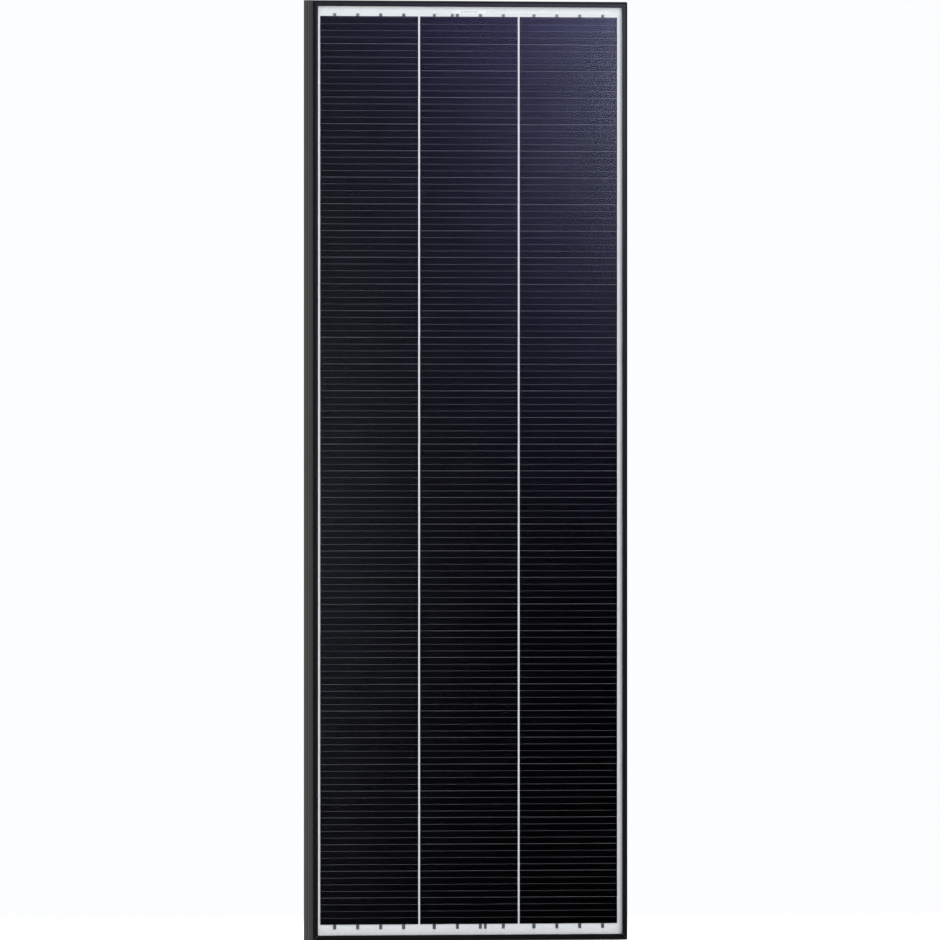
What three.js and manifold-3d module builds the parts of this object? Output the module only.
// A framed solar panel with three strings of overlapping quarter-cut cells.
// Millimetres. Everything is drawn with x to the right, y up and z out of the glass, from the middle
// of the plane that the frame's rear flanges rest on. The last lines turn the whole panel to +Z up.

import * as THREE from "three";
import { mergeVertices } from "three/addons/utils/BufferGeometryUtils.js";
import Module from "manifold-3d";

// ---- Driving dimensions ----

const panel = { width: 535, height: 1410, depth: 30 };

const frame = {
  lipWidth: 9,
  lipThickness: 1.5,
  frontRadius: 0.8,
  frontDraft: 0.7,
  draftHeight: 21.2,
  wall: 1.6,
  channelHeight: 5.6,
  shelfWidth: 11.5,
  shelfThickness: 1.5,
  flangeWidth: 28,
  flangeThickness: 1.8,
  grooveHeights: [4.6, 12.6, 20.4],
  grooveWidth: 0.8,
  grooveDepth: 0.5,
  mitreGap: 0.3,
};

const key = { leg: 42, clearance: 0.3 };

const mounting = {
  slotWidth: 9,
  slotLength: 14,
  heights: [-550, -350, 350, 550],
  groundHoleRadius: 2.1,
  groundHoleHeights: [-610, 610],
  drainWidth: 3.5,
  drainLength: 10,
  drainInset: 60,
};

const wafer = {
  side: 166,
  slices: 4,
  overlap: 1.5,
  perString: 34,
  stringGap: 3,
  rise: 0.2,
  shift: 0.6,
};

const layerThickness = {
  glass: 3.2,
  frontEncapsulant: 0.42,
  cells: 0.42,
  ribbons: 0.2,
  leads: 0.22,
  rearEncapsulant: 0.3,
  backsheet: 0.3,
};
const bondGap = 0.02;

// How far a cutter passes the face it opens, and a joined piece reaches into its neighbour
const cutReach = 1;

const glassInset = 3;
const glassCornerRadius = 3;
const lipClearance = 0.15;

const ribbon = { endWidth: 4, endTuck: 4.75, tabWidth: 5.4, tabPitch: 39, tabs: 4, sideInset: 3 };
const crossRibbon = { width: 5, thickness: 0.2, centreHeight: 692.5, sideInset: 12 };
const coverStrip = { top: [685.5, 699], bottom: [-699, -687.3], thickness: 0.08 };
const serialStrip = { width: 56, height: 5, centreHeight: 688.5, thickness: 0.08 };
const lead = { width: 5, thickness: 0.14, slotWidth: 8, slotHeight: 4 };
const insulation = { width: 12, thickness: 0.04 };
const label = { width: 92, height: 58, thickness: 0.12, x: -152, y: 596 };

const bead = { width: 2.6, height: 2.2, clearance: 0.1 };

const box = {
  width: 116,
  height: 96,
  cornerRadius: 8,
  leastRadius: 1.5,
  centreHeight: 590,
  adhesive: 0.9,
  skirtOverhang: 4,
  skirtThickness: 1.6,
  floor: 2.2,
  wall: 3.6,
  baseDepth: 13.5,
  seam: 0.2,
  leadX: 28,
  leadY: 32,
};
const adhesiveRing = { outset: -3, inset: 10 };
const gasket = { inset: 0.9, width: 1.8, height: 1.1, clearance: 0.1 };
const lid = {
  rimThickness: 2.4,
  padInset: 6,
  padThickness: 1.8,
  recessInset: 9,
  recessDepth: 2.25,
  skirtDepth: 2,
  skirtThickness: 2,
  skirtRoot: 0.5,
  skirtClearance: 0.4,
  clipX: 47,
  clipWidth: 10,
  clipDepth: 6,
  clipThickness: 2,
};
const hinge = {
  offset: 2.9,
  knuckleRadius: 2.6,
  boreRadius: 1.4,
  pinRadius: 1.2,
  knuckle: 8,
  lidX: 16.5,
  baseX: 25,
  pin: 60,
};
const rail = {
  width: 12,
  thickness: 1,
  low: -40,
  high: 24,
  height: 5.1,
  blockLength: 10,
  blockWidth: 9,
  blockTop: 12,
  supportHeights: [10, -18],
  supportLength: 6,
};
const terminal = {
  wireRadius: 2.2,
  wireRise: 0.4,
  wireDepth: 8,
  screwY: 5,
  screwHoleRadius: 1.7,
  screwRadius: 1.5,
  screwReach: 2,
  headRadius: 2.8,
  headThickness: 1.8,
  driveWidth: 0.8,
  driveDepth: 0.8,
};
const clamp = { length: 7, centreY: 20, thickness: 0.6, clearance: 0.3, footDepth: 0.8 };
const diode = { heights: [4, -8], bodyRadius: 2.7, bodyLength: 9.5, leadRadius: 0.6, span: 62 };
const gland = {
  height: 8.4,
  wireRadius: 3.4,
  stubRadius: 5.4,
  stubLength: 12,
  seatRadius: 4.4,
  seatDepth: 7,
  sealRadius: 4.25,
  sealBore: 3.1,
  sealLength: 6,
  nutRadius: 7.4,
  nutDomeRadius: 6.3,
  nutBore: 5.6,
  nutGap: 4.5,
  nutLength: 12.6,
  nutHexLength: 7,
  nutCap: 3,
  nutTaper: 1.5,
  nutTaperLength: 2,
  contactGap: 0.1,
};

// ---- Sizes that follow from them ----

const cellPitch = wafer.side / wafer.slices - wafer.overlap;
const stringLength = wafer.perString * cellPitch + wafer.overlap;
const stringPitch = wafer.side + wafer.stringGap;
const shelfHeight = panel.depth - frame.lipThickness - frame.channelHeight;

// z of each laminate layer's back face, counted down from the front of the glass
const layerBack = {};
let nextFront = panel.depth - frame.lipThickness - lipClearance;
for (const [name, thickness] of Object.entries(layerThickness)) {
  layerBack[name] = nextFront - thickness;
  nextFront = layerBack[name] - bondGap;
}
const rearSurface = layerBack.backsheet;

// z of the lead ribbon's two runs: inside the laminate, and on the contact rail
const leadLevel = layerBack.leads + lead.thickness / 2;
const railTop = rail.height + rail.thickness;
const leadOnRail = rearSurface - railTop - bondGap - lead.thickness / 2;

const baseBack = box.adhesive + 2 * bondGap;
const baseTop = baseBack + box.baseDepth;
const lidBack = baseTop + box.seam;
const screwY = rail.low + terminal.screwY;

// ---- Materials ----

function finish(color, roughness, metalness, opacity = 1) {
  return new THREE.MeshStandardMaterial({ color, roughness, metalness, opacity, transparent: opacity < 1 });
}

const materials = {
  anodisedBlack: finish(0x17181b, 0.45, 0.9),
  glass: finish(0xdfe9ee, 0.08, 0, 0.25),
  encapsulant: finish(0xf2f4f4, 0.3, 0, 0.15),
  silicon: finish(0x0d1018, 0.3, 0.1),
  tinnedCopper: finish(0x7b7d80, 0.4, 0.9),
  whiteFilm: finish(0xe9ebec, 0.6, 0),
  sealant: finish(0x202122, 0.7, 0),
  castKey: finish(0x9a9da0, 0.5, 0.9),
  blackPlastic: finish(0x121314, 0.5, 0),
  rubber: finish(0x1b1b1c, 0.85, 0),
  brass: finish(0xb59a5c, 0.35, 0.9),
  steel: finish(0xb8babd, 0.3, 0.95),
};

// ---- Drawing and cutting helpers ----

const wasm = await Module();
wasm.setup();

// A closed geometry as a solid that can be joined and cut; a solid is passed on as it is.
function toSolid(shape) {
  if (shape instanceof wasm.Manifold) return shape;
  const bare = shape.clone();
  bare.deleteAttribute("normal");
  bare.deleteAttribute("uv");
  const merged = mergeVertices(bare);
  return new wasm.Manifold(
    new wasm.Mesh({
      numProp: 3,
      vertProperties: merged.attributes.position.array,
      triVerts: Uint32Array.from(merged.index.array),
    }),
  );
}

function toGeometry(solid) {
  const { vertProperties, triVerts } = solid.getMesh();
  const geometry = new THREE.BufferGeometry();
  geometry.setAttribute("position", new THREE.BufferAttribute(vertProperties, 3));
  geometry.setIndex(new THREE.BufferAttribute(triVerts, 1));
  return geometry;
}

function join(pieces) {
  return pieces.map(toSolid).reduce((whole, piece) => whole.add(piece));
}

function cut(body, tools) {
  return tools.map(toSolid).reduce((rest, tool) => rest.subtract(tool), toSolid(body));
}

// A rectangle about (x, y); a radius rounds its corners.
function rectangle(width, height, radius = 0, x = 0, y = 0) {
  const right = width / 2 - radius;
  const top = height / 2 - radius;
  const centres = [
    [x + right, y + top],
    [x - right, y + top],
    [x - right, y - top],
    [x + right, y - top],
  ];
  if (radius === 0) return new THREE.Shape(centres.map((centre) => new THREE.Vector2(...centre)));
  const shape = new THREE.Shape();
  centres.forEach((centre, quarter) => {
    const start = (quarter * Math.PI) / 2;
    shape.absarc(...centre, radius, start, start + Math.PI / 2, false);
  });
  return shape;
}

function circle(radius, x = 0, y = 0) {
  return new THREE.Shape().absarc(x, y, radius, 0, 2 * Math.PI, false);
}

// Each arc of the outline becomes twice as many straight runs as arcSteps.
function extrude(shape, back, thickness, arcSteps = 2) {
  const settings = { depth: thickness, bevelEnabled: false, curveSegments: arcSteps };
  return new THREE.ExtrudeGeometry(shape, settings).translate(0, 0, back);
}

function disc(radius, back, thickness, x = 0, y = 0) {
  return extrude(circle(radius, x, y), back, thickness, 7);
}

function ringPlate(outer, inner, back, thickness) {
  outer.holes.push(inner);
  return extrude(outer, back, thickness);
}

// An outline drawn in (y, z) and drawn out along x, centred on the given x.
function extrudeAlongX(shape, width, x = 0) {
  const turn = new THREE.Matrix4().makeBasis(
    new THREE.Vector3(0, 1, 0),
    new THREE.Vector3(0, 0, 1),
    new THREE.Vector3(1, 0, 0),
  );
  return extrude(shape, -width / 2, width).applyMatrix4(turn).translate(x, 0, 0);
}

// The outline of a strip of even thickness that follows a path of straight runs.
function bentStrip(path, thickness) {
  const points = path.map(([a, b]) => new THREE.Vector2(a, b));
  const sides = [[], []];
  points.forEach((point, i) => {
    const before = points[Math.max(i - 1, 0)];
    const after = points[Math.min(i + 1, points.length - 1)];
    const inward = (i > 0 ? point.clone().sub(before) : after.clone().sub(point)).normalize();
    const outward = (i < points.length - 1 ? after.clone().sub(point) : inward.clone()).normalize();
    const normalIn = new THREE.Vector2(-inward.y, inward.x);
    const normalOut = new THREE.Vector2(-outward.y, outward.x);
    const mitre = normalIn.clone().add(normalOut).divideScalar(1 + normalIn.dot(normalOut));
    sides[0].push(point.clone().addScaledVector(mitre, thickness / 2));
    sides[1].push(point.clone().addScaledVector(mitre, -thickness / 2));
  });
  return new THREE.Shape([...sides[0], ...sides[1].reverse()]);
}

// A closed ring of any section round a rectangle. Section points are [inset, z] from the outer edge,
// going anticlockwise with the inset to the right and z up.
function rectangularRing(section, width, height) {
  const reach = 10;
  const points = section.map(([inset, z]) => new THREE.Vector2(reach + inset, z));
  const ring = new THREE.LatheGeometry([...points, points[0]], 4, Math.PI / 4);
  const position = ring.attributes.position;
  for (let i = 0; i < position.count; i++) {
    const inset = Math.hypot(position.getX(i), position.getZ(i)) - reach;
    const x = Math.sign(position.getX(i)) * (width / 2 - inset);
    const y = Math.sign(position.getZ(i)) * (height / 2 - inset);
    position.setXYZ(i, x, y, position.getY(i));
  }
  return ring;
}

// A round bar or tube along y between two heights; the profile holds [radius, y] pairs.
function turned(profile, segments = 16) {
  const points = profile.map(([radius, y]) => new THREE.Vector2(radius, y));
  return new THREE.LatheGeometry(points, segments);
}

function rod(radius, low, high, segments = 16) {
  return turned([[0, low], [radius, low], [radius, high], [0, high]], segments);
}

function tube(outer, inner, low, high, segments = 16) {
  return turned([[outer, low], [outer, high], [inner, high], [inner, low], [outer, low]], segments);
}

function rodAlongX(radius, centre, length, y, z, segments = 16) {
  return rod(radius, -length / 2, length / 2, segments).rotateZ(Math.PI / 2).translate(centre, y, z);
}

function block(x, y, z) {
  const size = [x, y, z].map(([low, high]) => high - low);
  const centre = [x, y, z].map(([low, high]) => (low + high) / 2);
  return new THREE.BoxGeometry(...size).translate(...centre);
}

const model = new THREE.Group();

function add(parent, name, shape, material) {
  const geometry = shape instanceof wasm.Manifold ? toGeometry(shape) : shape;
  const mesh = new THREE.Mesh(geometry, material);
  mesh.name = name;
  parent.add(mesh);
  return mesh;
}

// ---- Frame: four mitred hollow profiles and the keys that join them ----

// The section, as (distance inward from the outer face, height above the rear plane).
function frameSection() {
  const { wall, shelfWidth, flangeWidth, flangeThickness, lipWidth, frontRadius } = frame;
  const lipUnder = panel.depth - frame.lipThickness;
  const outline = new THREE.Shape();
  outline.moveTo(0, 0);
  outline.lineTo(flangeWidth, 0);
  outline.lineTo(flangeWidth, flangeThickness);
  outline.lineTo(shelfWidth, flangeThickness);
  outline.lineTo(shelfWidth, shelfHeight);
  outline.lineTo(wall, shelfHeight);
  outline.lineTo(wall, lipUnder);
  outline.lineTo(lipWidth, lipUnder);
  outline.lineTo(lipWidth, panel.depth);
  const edgeCentre = frame.frontDraft + frontRadius;
  outline.absarc(edgeCentre, panel.depth - frontRadius, frontRadius, Math.PI / 2, Math.PI, false);
  outline.lineTo(0, frame.draftHeight);
  for (const height of [...frame.grooveHeights].reverse()) {
    outline.lineTo(0, height + frame.grooveWidth);
    outline.lineTo(frame.grooveDepth, height + frame.grooveWidth);
    outline.lineTo(frame.grooveDepth, height);
    outline.lineTo(0, height);
  }
  const chamberWidth = shelfWidth - 2 * wall;
  const chamberTop = shelfHeight - frame.shelfThickness;
  const chamberHeight = chamberTop - flangeThickness;
  const middle = [wall + chamberWidth / 2, flangeThickness + chamberHeight / 2];
  outline.holes.push(rectangle(chamberWidth, chamberHeight, 0, ...middle));
  return outline;
}

// One side of the frame: along x, its outer face at y = 0, both ends cut at 45 degrees.
function mitredBar(length) {
  const bar = extrude(frameSection(), 0, 1);
  const position = bar.attributes.position;
  for (let i = 0; i < position.count; i++) {
    const inward = position.getX(i);
    const height = position.getY(i);
    const end = position.getZ(i) * 2 - 1;
    position.setXYZ(i, end * (length / 2 - inward - frame.mitreGap / 2), inward, height);
  }
  return bar;
}

function flangeCutter(shape, arcSteps = 3) {
  return extrude(shape, -cutReach, frame.flangeThickness + 2 * cutReach, arcSteps);
}

// A slot with round ends, its length along x.
function slotShape(width, length, x, y) {
  const radius = width / 2;
  const reach = length / 2 - radius;
  const shape = new THREE.Shape();
  shape.absarc(x + reach, y, radius, -Math.PI / 2, Math.PI / 2, false);
  shape.absarc(x - reach, y, radius, Math.PI / 2, (3 * Math.PI) / 2, false);
  return shape;
}

const flangeMiddle = (frame.shelfWidth + frame.flangeWidth) / 2;

function longSide() {
  const slots = mounting.heights.map((height) =>
    flangeCutter(slotShape(mounting.slotWidth, mounting.slotLength, height, flangeMiddle)),
  );
  const groundHoles = mounting.groundHoleHeights.map((height) =>
    flangeCutter(circle(mounting.groundHoleRadius, height, flangeMiddle), 7),
  );
  return cut(mitredBar(panel.height), [...slots, ...groundHoles]);
}

function shortSide() {
  const reach = panel.width / 2 - mounting.drainInset;
  const drains = [-reach, reach].map((x) =>
    flangeCutter(slotShape(mounting.drainWidth, mounting.drainLength, x, flangeMiddle)),
  );
  return cut(mitredBar(panel.width), drains);
}

const sides = [
  ["frame_bottom", shortSide, 0, -panel.height / 2, 0],
  ["frame_top", shortSide, 0, panel.height / 2, Math.PI],
  ["frame_left", longSide, -panel.width / 2, 0, -Math.PI / 2],
  ["frame_right", longSide, panel.width / 2, 0, Math.PI / 2],
];
for (const [name, makeSide, x, y, turn] of sides) {
  const side = add(model, name, makeSide(), materials.anodisedBlack);
  side.position.set(x, y, 0);
  side.rotation.z = turn;
}

// An L-shaped key that fills the hollow of two sides where they meet.
function cornerKey() {
  const low = frame.wall + key.clearance;
  const high = frame.shelfWidth - frame.wall - key.clearance;
  const shape = new THREE.Shape();
  shape.moveTo(low, low);
  shape.lineTo(key.leg, low);
  shape.lineTo(key.leg, high);
  shape.lineTo(high, high);
  shape.lineTo(high, key.leg);
  shape.lineTo(low, key.leg);
  const bottom = frame.flangeThickness + key.clearance;
  const top = shelfHeight - frame.shelfThickness - key.clearance;
  return extrude(shape, bottom, top - bottom);
}

const corners = [
  ["corner_key_bottom_left", -1, -1, 0],
  ["corner_key_bottom_right", 1, -1, Math.PI / 2],
  ["corner_key_top_right", 1, 1, Math.PI],
  ["corner_key_top_left", -1, 1, -Math.PI / 2],
];
for (const [name, sideX, sideY, turn] of corners) {
  const cornerPiece = add(model, name, cornerKey(), materials.castKey);
  cornerPiece.position.set((sideX * panel.width) / 2, (sideY * panel.height) / 2, 0);
  cornerPiece.rotation.z = turn;
}

// ---- Sealant in the glass channel, and its bead on the back ----

const channelOuter = frame.wall + bondGap;
const channelInner = glassInset - bondGap;
const channelSection = [
  [channelOuter, shelfHeight + bondGap],
  [channelInner, shelfHeight + bondGap],
  [channelInner, panel.depth - frame.lipThickness - bondGap],
  [channelOuter, panel.depth - frame.lipThickness - bondGap],
];
add(model, "edge_sealant", rectangularRing(channelSection, panel.width, panel.height), materials.sealant);

const beadOuter = frame.shelfWidth + bead.clearance;
const beadFront = rearSurface - bead.clearance;
const beadSection = [
  [beadOuter, beadFront],
  [beadOuter, beadFront - bead.height],
  [beadOuter + bead.width / 3, beadFront - bead.height / 2],
  [beadOuter + bead.width, beadFront],
];
add(model, "rear_sealant_bead", rectangularRing(beadSection, panel.width, panel.height), materials.sealant);

// ---- Laminate: glass, encapsulant, cells, ribbons, encapsulant, backsheet ----

const sheetWidth = panel.width - 2 * glassInset;
const sheetHeight = panel.height - 2 * glassInset;

function sheet(layer) {
  const outline = rectangle(sheetWidth, sheetHeight, glassCornerRadius);
  return extrude(outline, layerBack[layer], layerThickness[layer]);
}

function leadSlots(layer) {
  const y = box.centreHeight + box.leadY;
  const back = layerBack[layer] - cutReach;
  const depth = layerThickness[layer] + 2 * cutReach;
  return [-box.leadX, box.leadX].map((x) =>
    extrude(rectangle(lead.slotWidth, lead.slotHeight, 0, x, y), back, depth),
  );
}

add(model, "front_glass", sheet("glass"), materials.glass);
add(model, "front_encapsulant", sheet("frontEncapsulant"), materials.encapsulant);
const rearSheet = cut(sheet("rearEncapsulant"), leadSlots("rearEncapsulant"));
add(model, "rear_encapsulant", rearSheet, materials.encapsulant);
add(model, "backsheet", cut(sheet("backsheet"), leadSlots("backsheet")), materials.whiteFilm);

// The side view of a string: each cell's lower edge lies on top of the next cell's upper edge.
function shingledSection() {
  const front = layerThickness.cells;
  const shape = new THREE.Shape();
  shape.moveTo(-stringLength / 2, 0);
  shape.lineTo(-stringLength / 2, front);
  for (let row = 1; row < wafer.perString; row++) {
    const step = -stringLength / 2 + row * cellPitch;
    shape.lineTo(step, front - wafer.rise);
    shape.lineTo(step, front);
  }
  shape.lineTo(stringLength / 2, front - wafer.rise);
  shape.lineTo(stringLength / 2, 0);
  return shape;
}

// A comb: a strip behind the last cell's edge, and tabs out to the cross ribbon. Its side is 1 for the
// top end and -1 for the bottom end, which is the same comb turned half a turn.
function endRibbon(side) {
  const halfWidth = wafer.side / 2 - ribbon.sideInset;
  const low = stringLength / 2 + side * wafer.shift - ribbon.endTuck;
  const high = low + ribbon.endWidth;
  const tip = crossRibbon.centreHeight + crossRibbon.width / 2;
  const shape = new THREE.Shape();
  shape.moveTo(-halfWidth, low);
  shape.lineTo(halfWidth, low);
  shape.lineTo(halfWidth, high);
  for (let tab = ribbon.tabs - 1; tab >= 0; tab--) {
    const centre = (tab - (ribbon.tabs - 1) / 2) * ribbon.tabPitch;
    shape.lineTo(centre + ribbon.tabWidth / 2, high);
    shape.lineTo(centre + ribbon.tabWidth / 2, tip);
    shape.lineTo(centre - ribbon.tabWidth / 2, tip);
    shape.lineTo(centre - ribbon.tabWidth / 2, high);
  }
  shape.lineTo(-halfWidth, high);
  return extrude(shape, layerBack.ribbons, layerThickness.ribbons);
}

["left", "centre", "right"].forEach((place, i) => {
  const x = (i - 1) * stringPitch;
  const cells = extrudeAlongX(shingledSection(), wafer.side).translate(x, wafer.shift, layerBack.cells);
  add(model, `cell_string_${place}`, cells, materials.silicon);
  add(model, `end_ribbon_top_${place}`, endRibbon(1), materials.tinnedCopper).position.x = x;
  const lower = add(model, `end_ribbon_bottom_${place}`, endRibbon(-1), materials.tinnedCopper);
  lower.position.x = x;
  lower.rotation.z = Math.PI;
});

// The cross ribbons join the strings, behind the cover strips that hide them.
const crossWidth = panel.width - 2 * (frame.lipWidth + crossRibbon.sideInset);
const coverFront = layerBack.frontEncapsulant - bondGap - serialStrip.thickness;
for (const [place, side] of [["top", 1], ["bottom", -1]]) {
  const cross = rectangle(crossWidth, crossRibbon.width, 0, 0, side * crossRibbon.centreHeight);
  const crossSolid = extrude(cross, layerBack.cells + bondGap, crossRibbon.thickness);
  add(model, `cross_ribbon_${place}`, crossSolid, materials.tinnedCopper);
  const [low, high] = coverStrip[place];
  const cover = rectangle(sheetWidth - 2 * ribbon.sideInset, high - low, 0, 0, (high + low) / 2);
  const coverSolid = extrude(cover, coverFront - coverStrip.thickness, coverStrip.thickness);
  add(model, `cover_strip_${place}`, coverSolid, materials.whiteFilm);
}

const serial = rectangle(serialStrip.width, serialStrip.height, 0, 0, serialStrip.centreHeight);
const serialSolid = extrude(serial, coverFront + bondGap, serialStrip.thickness - bondGap);
add(model, "serial_strip", serialSolid, materials.whiteFilm);

// Two leads go from the cross ribbons through the backsheet and fold down onto the contact rails.
function leadRibbon(x, start) {
  const exit = box.centreHeight + box.leadY;
  const end = box.centreHeight + clamp.centreY - clamp.length;
  const path = [
    [start, leadLevel],
    [exit, leadLevel],
    [exit, leadOnRail],
    [end, leadOnRail],
  ];
  return extrudeAlongX(bentStrip(path, lead.thickness), lead.width, x);
}

const leadStart = crossRibbon.centreHeight + crossRibbon.width / 2;
add(model, "lead_ribbon_positive", leadRibbon(-box.leadX, leadStart), materials.tinnedCopper);
add(model, "return_ribbon_negative", leadRibbon(box.leadX, -leadStart), materials.tinnedCopper);

const insulationTop = box.centreHeight + box.leadY - lead.slotHeight;
const insulationLow = wafer.shift - stringLength / 2 + ribbon.endTuck;
const insulationShape = rectangle(
  insulation.width,
  insulationTop - insulationLow,
  0,
  box.leadX,
  (insulationTop + insulationLow) / 2,
);
const insulationBack = leadLevel + lead.thickness / 2 + bondGap / 2;
const insulationSolid = extrude(insulationShape, insulationBack, insulation.thickness);
add(model, "return_insulation", insulationSolid, materials.whiteFilm);

const labelShape = rectangle(label.width, label.height, 2, label.x, label.y);
const labelBack = rearSurface - bondGap - label.thickness;
add(model, "rating_label", extrude(labelShape, labelBack, label.thickness), materials.whiteFilm);

// ---- Junction box, drawn on the backsheet with z pointing back, away from the glass ----

const junctionBox = new THREE.Group();
junctionBox.position.set(0, box.centreHeight, rearSurface);
junctionBox.rotation.y = Math.PI;
model.add(junctionBox);

function boxOutline(inset) {
  const radius = Math.max(box.cornerRadius - inset, box.leastRadius);
  return rectangle(box.width - 2 * inset, box.height - 2 * inset, radius);
}

function glandPlace(geometry, side) {
  return geometry.translate(side * box.leadX, 0, gland.height);
}

const hingeY = box.height / 2 + hinge.offset;
const hingeZ = baseTop + box.seam / 2;

function knuckles(centre, low, high) {
  return [-centre, centre].flatMap((x) => {
    const span = [x - hinge.knuckle / 2, x + hinge.knuckle / 2];
    return [
      rodAlongX(hinge.knuckleRadius, x, hinge.knuckle, hingeY, hingeZ),
      block(span, [box.height / 2 - cutReach, hingeY], [low, high]),
    ];
  });
}

const pinBore = rodAlongX(hinge.boreRadius, 0, 2 * hinge.pin, hingeY, hingeZ);
const floorTop = baseBack + box.floor;
const bottomWall = -box.height / 2;
const stubEnd = bottomWall - gland.stubLength;

function boxBase() {
  const shell = cut(extrude(boxOutline(0), baseBack, box.baseDepth), [
    extrude(boxOutline(box.wall), floorTop, box.baseDepth),
  ]);
  const supports = [-box.leadX, box.leadX].flatMap((x) =>
    rail.supportHeights.map((y) =>
      block(
        [x - rail.width / 2, x + rail.width / 2],
        [y - rail.supportLength / 2, y + rail.supportLength / 2],
        [floorTop - cutReach, rail.height - bondGap],
      ),
    ),
  );
  const stub = rod(gland.stubRadius, stubEnd, bottomWall + cutReach, 20);
  const stubs = [-1, 1].map((side) => glandPlace(stub.clone(), side));
  const body = join([
    shell,
    extrude(boxOutline(-box.skirtOverhang), baseBack, box.skirtThickness),
    ...supports,
    ...stubs,
    ...knuckles(hinge.baseX, hingeZ - 2 * hinge.knuckleRadius, hingeZ),
  ]);
  const groove = ringPlate(
    boxOutline(gasket.inset - gasket.clearance),
    boxOutline(gasket.inset + gasket.width + gasket.clearance),
    baseTop - gasket.height,
    2 * gasket.height,
  );
  const wireBores = [-1, 1].flatMap((side) => [
    glandPlace(rod(gland.wireRadius, stubEnd - cutReach, bottomWall + box.wall + cutReach), side),
    glandPlace(rod(gland.seatRadius, stubEnd - cutReach, stubEnd + gland.seatDepth, 20), side),
  ]);
  const ribbonSlots = [-box.leadX, box.leadX].map((x) =>
    extrude(rectangle(lead.slotWidth, lead.slotHeight, 0, x, box.leadY), 0, floorTop + cutReach),
  );
  return cut(body, [groove, pinBore, ...wireBores, ...ribbonSlots]);
}

const adhesive = ringPlate(
  boxOutline(adhesiveRing.outset),
  boxOutline(adhesiveRing.inset),
  bondGap,
  box.adhesive,
);
add(junctionBox, "jbox_adhesive", adhesive, materials.sealant);
add(junctionBox, "jbox_base", boxBase(), materials.blackPlastic);

const gasketRing = ringPlate(
  boxOutline(gasket.inset),
  boxOutline(gasket.inset + gasket.width),
  baseTop - gasket.height + gasket.clearance / 2,
  gasket.height - gasket.clearance / 2,
);
add(junctionBox, "jbox_gasket", gasketRing, materials.rubber);

function boxLid() {
  const skirtInset = box.wall + lid.skirtClearance;
  const skirt = ringPlate(
    boxOutline(skirtInset),
    boxOutline(skirtInset + lid.skirtThickness),
    lidBack - lid.skirtDepth,
    lid.skirtDepth + lid.skirtRoot,
  );
  const clipInner = bottomWall - lid.skirtClearance;
  const lidFront = lidBack + lid.rimThickness;
  const clips = [-lid.clipX, lid.clipX].flatMap((x) => {
    const span = [x - lid.clipWidth / 2, x + lid.clipWidth / 2];
    return [
      block(span, [clipInner - lid.clipThickness, clipInner], [lidBack - lid.clipDepth, lidFront]),
      block(span, [bottomWall - lid.clipThickness, bottomWall + cutReach], [lidBack, lidFront]),
    ];
  });
  const plate = cut(
    join([
      extrude(boxOutline(0), lidBack, lid.rimThickness),
      extrude(boxOutline(lid.padInset), lidBack, lid.rimThickness + lid.padThickness),
    ]),
    [extrude(boxOutline(lid.recessInset), lidBack - cutReach, lid.recessDepth + cutReach)],
  );
  const body = join([
    plate,
    skirt,
    ...clips,
    ...knuckles(hinge.lidX, lidBack, hingeZ + hinge.knuckleRadius),
  ]);
  return cut(body, [pinBore]);
}

add(junctionBox, "jbox_lid", boxLid(), materials.blackPlastic);
const pin = rodAlongX(hinge.pinRadius, 0, hinge.pin, hingeY, hingeZ);
add(junctionBox, "jbox_hinge_pin", pin, materials.steel);

// Contact rail: a flat strip on two supports, ending in a clamping block in line with the gland.
function contactRail() {
  const strip = block([-rail.width / 2, rail.width / 2], [rail.low, rail.high], [rail.height, railTop]);
  const blockEnd = rail.low + rail.blockLength;
  const half = rail.blockWidth / 2;
  const body = join([strip, block([-half, half], [rail.low, blockEnd], [rail.height, rail.blockTop])]);
  const wire = rod(terminal.wireRadius, rail.low - cutReach, rail.low + terminal.wireDepth);
  const screwHole = disc(terminal.screwHoleRadius, railTop + rail.thickness, rail.blockTop, 0, screwY);
  return cut(body, [wire.translate(0, 0, gland.height + terminal.wireRise), screwHole]);
}

function terminalScrew() {
  const { screwRadius, screwReach, headRadius, headThickness, driveWidth, driveDepth } = terminal;
  const headTop = rail.blockTop + bondGap + headThickness;
  const shank = disc(screwRadius, rail.blockTop - screwReach, screwReach + headThickness / 2);
  const head = disc(headRadius, rail.blockTop + bondGap, headThickness);
  const drive = block(
    [-headRadius - cutReach, headRadius + cutReach],
    [-driveWidth / 2, driveWidth / 2],
    [headTop - driveDepth, headTop + cutReach],
  );
  return cut(join([shank, head]), [drive]);
}

// Ribbon clamp: a bridge over the lead and the rail's edges.
function ribbonClamp() {
  const reach = rail.width / 2 + clamp.clearance + clamp.thickness / 2;
  const top = railTop + lead.thickness + clamp.clearance + clamp.thickness / 2;
  const foot = rail.height - clamp.footDepth;
  const path = [
    [-reach, foot],
    [-reach, top],
    [reach, top],
    [reach, foot],
  ];
  return extrude(bentStrip(path, clamp.thickness), -clamp.length / 2, clamp.length).rotateX(Math.PI / 2);
}

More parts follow.
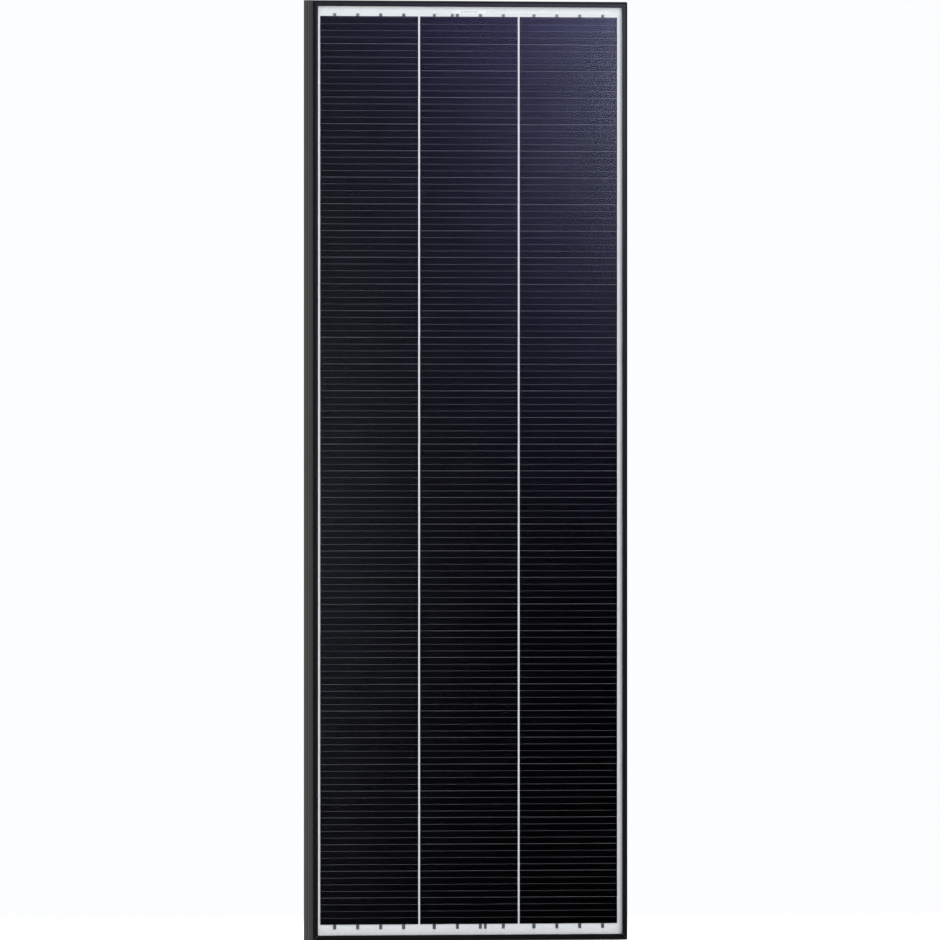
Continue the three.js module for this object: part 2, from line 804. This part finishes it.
function bypassDiode() {
  const { span, bodyLength, bodyRadius, leadRadius } = diode;
  const profile = [
    [0, -span / 2],
    [leadRadius, -span / 2],
    [leadRadius, -bodyLength / 2],
    [bodyRadius, -bodyLength / 2],
    [bodyRadius, bodyLength / 2],
    [leadRadius, bodyLength / 2],
    [leadRadius, span / 2],
    [0, span / 2],
  ];
  return turned(profile, 12).rotateZ(Math.PI / 2);
}

diode.heights.forEach((y, i) => {
  const name = `bypass_diode_${["upper", "lower"][i]}`;
  const body = add(junctionBox, name, bypassDiode(), materials.blackPlastic);
  body.position.set(0, y, railTop + bondGap + diode.leadRadius);
});

// ---- Cable glands: a rubber seal in each stub and a hexagonal nut that presses it in ----

const nutHigh = bottomWall - gland.nutGap;
const nutLow = nutHigh - gland.nutLength;

function glandSeal() {
  const low = nutLow + gland.nutCap + gland.contactGap;
  return tube(gland.sealRadius, gland.sealBore, low, low + gland.sealLength, 20);
}

function glandNut() {
  const hexagon = rod(gland.nutRadius, nutHigh - gland.nutHexLength, nutHigh, 6);
  const dome = turned([
    [0, nutLow],
    [gland.nutDomeRadius - gland.nutTaper, nutLow],
    [gland.nutDomeRadius, nutLow + gland.nutTaperLength],
    [gland.nutDomeRadius, nutHigh - cutReach],
    [0, nutHigh - cutReach],
  ], 24);
  const bore = rod(gland.nutBore, nutLow + gland.nutCap, nutHigh + cutReach, 20);
  const mouth = rod(gland.wireRadius, nutLow - cutReach, nutHigh + cutReach);
  return cut(join([hexagon, dome]), [bore, mouth]);
}

for (const [pole, side] of [["positive", 1], ["negative", -1]]) {
  const x = side * box.leadX;
  add(junctionBox, `contact_rail_${pole}`, contactRail(), materials.brass).position.x = x;
  add(junctionBox, `terminal_screw_${pole}`, terminalScrew(), materials.steel).position.set(x, screwY, 0);
  add(junctionBox, `ribbon_clamp_${pole}`, ribbonClamp(), materials.steel).position.set(x, clamp.centreY, 0);
  add(junctionBox, `gland_seal_${pole}`, glandSeal(), materials.rubber).position.set(x, 0, gland.height);
  add(junctionBox, `gland_nut_${pole}`, glandNut(), materials.blackPlastic).position.set(x, 0, gland.height);
}

model.rotation.x = Math.PI / 2;

export default model;
